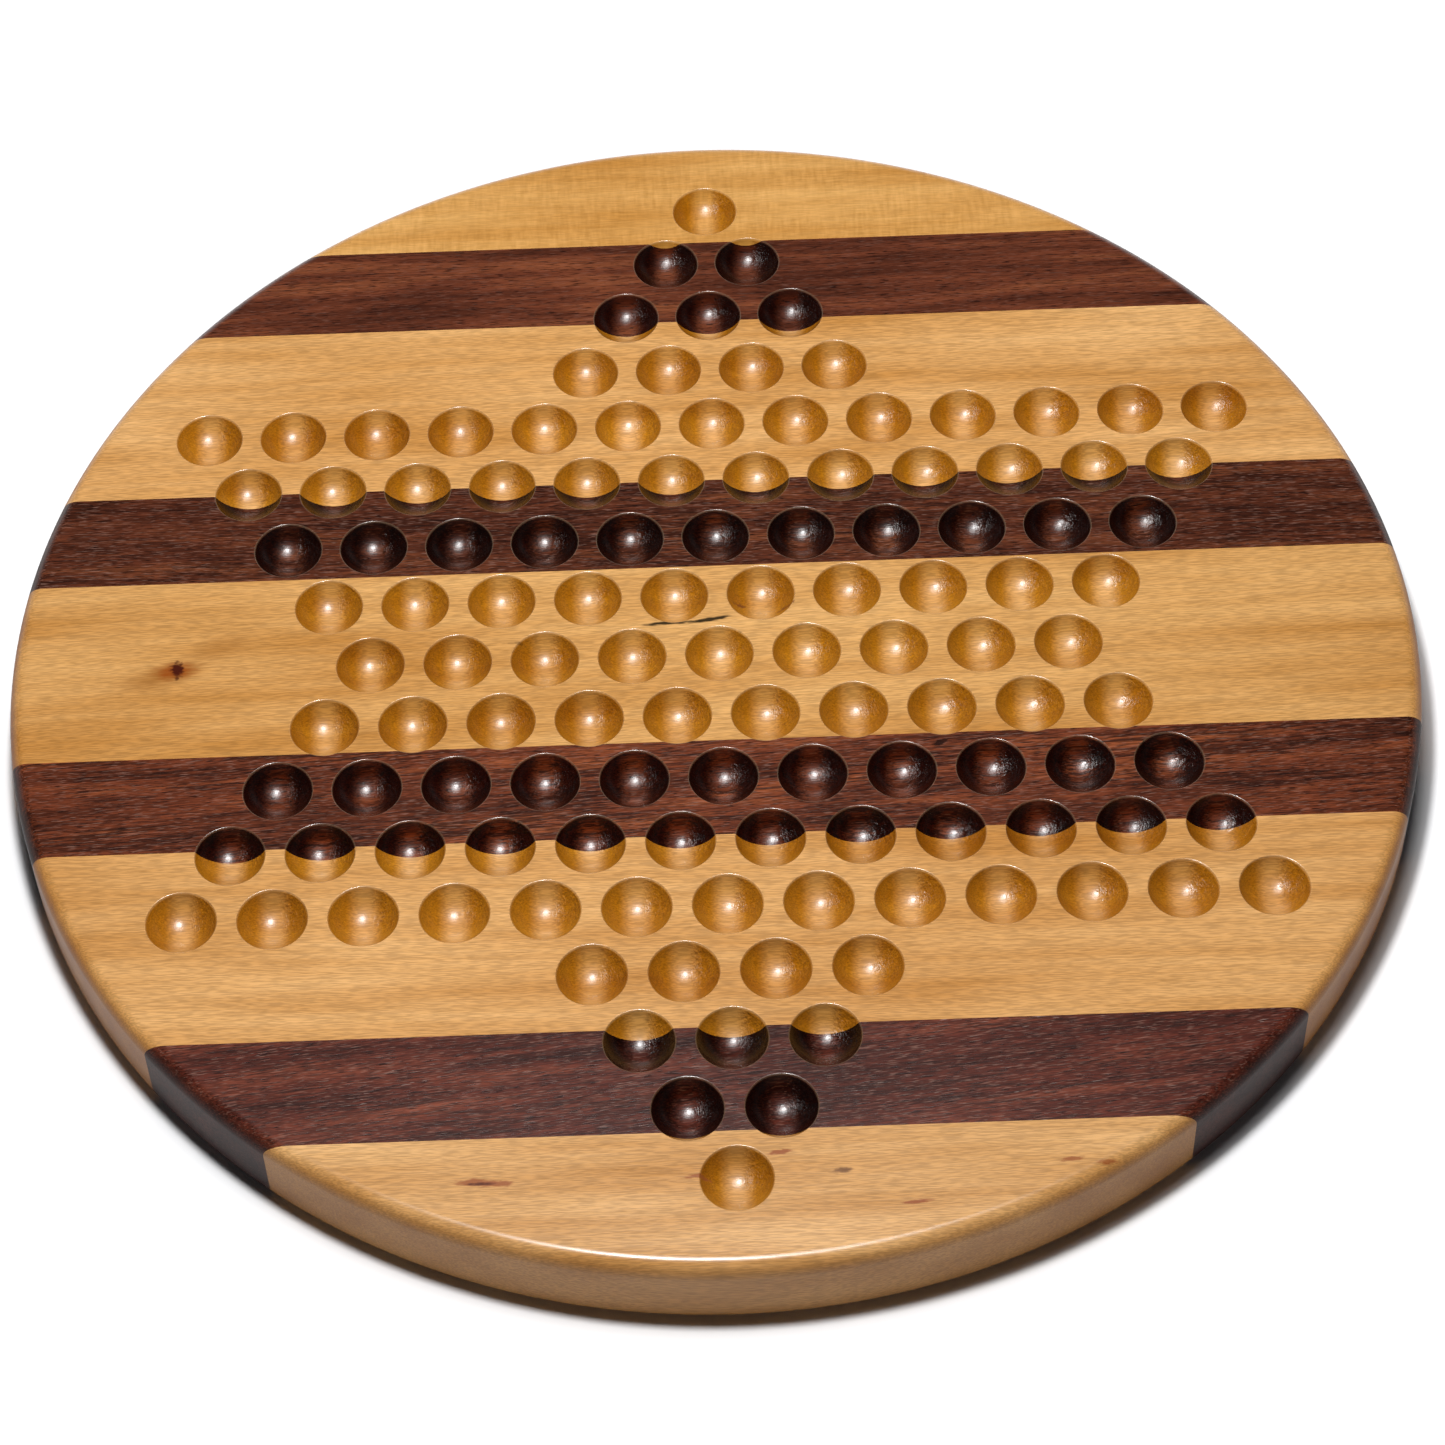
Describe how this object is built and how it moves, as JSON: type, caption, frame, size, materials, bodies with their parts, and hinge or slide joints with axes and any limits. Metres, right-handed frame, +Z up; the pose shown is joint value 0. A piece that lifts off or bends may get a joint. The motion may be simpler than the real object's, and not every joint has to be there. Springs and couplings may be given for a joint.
{
  "type": "chinese checkers board",
  "caption": "Round edge-glued board of alternating maple and walnut strips with a six-pointed star of dimples for marbles.",
  "frame": {"origin": "centre of the underside, on the surface that the board rests on", "axes": "+Z up out of the playing face, strips along X, +Y towards the back point of the star"},
  "size_m": [0.41, 0.41, 0.0254],
  "materials": {
    "maple": "satin lacquer over fine-grained maple",
    "walnut": "satin lacquer over dark walnut"
  },
  "bodies": {
    "root": {"maple_cap_back": "maple", "walnut_strip_back_outer": "walnut", "maple_strip_back": "maple", "walnut_strip_back_inner": "walnut", "maple_strip_centre": "maple", "walnut_strip_front_inner": "walnut", "maple_strip_front": "maple", "walnut_strip_front_outer": "walnut", "maple_cap_front": "maple"}
  },
  "joints": []
}
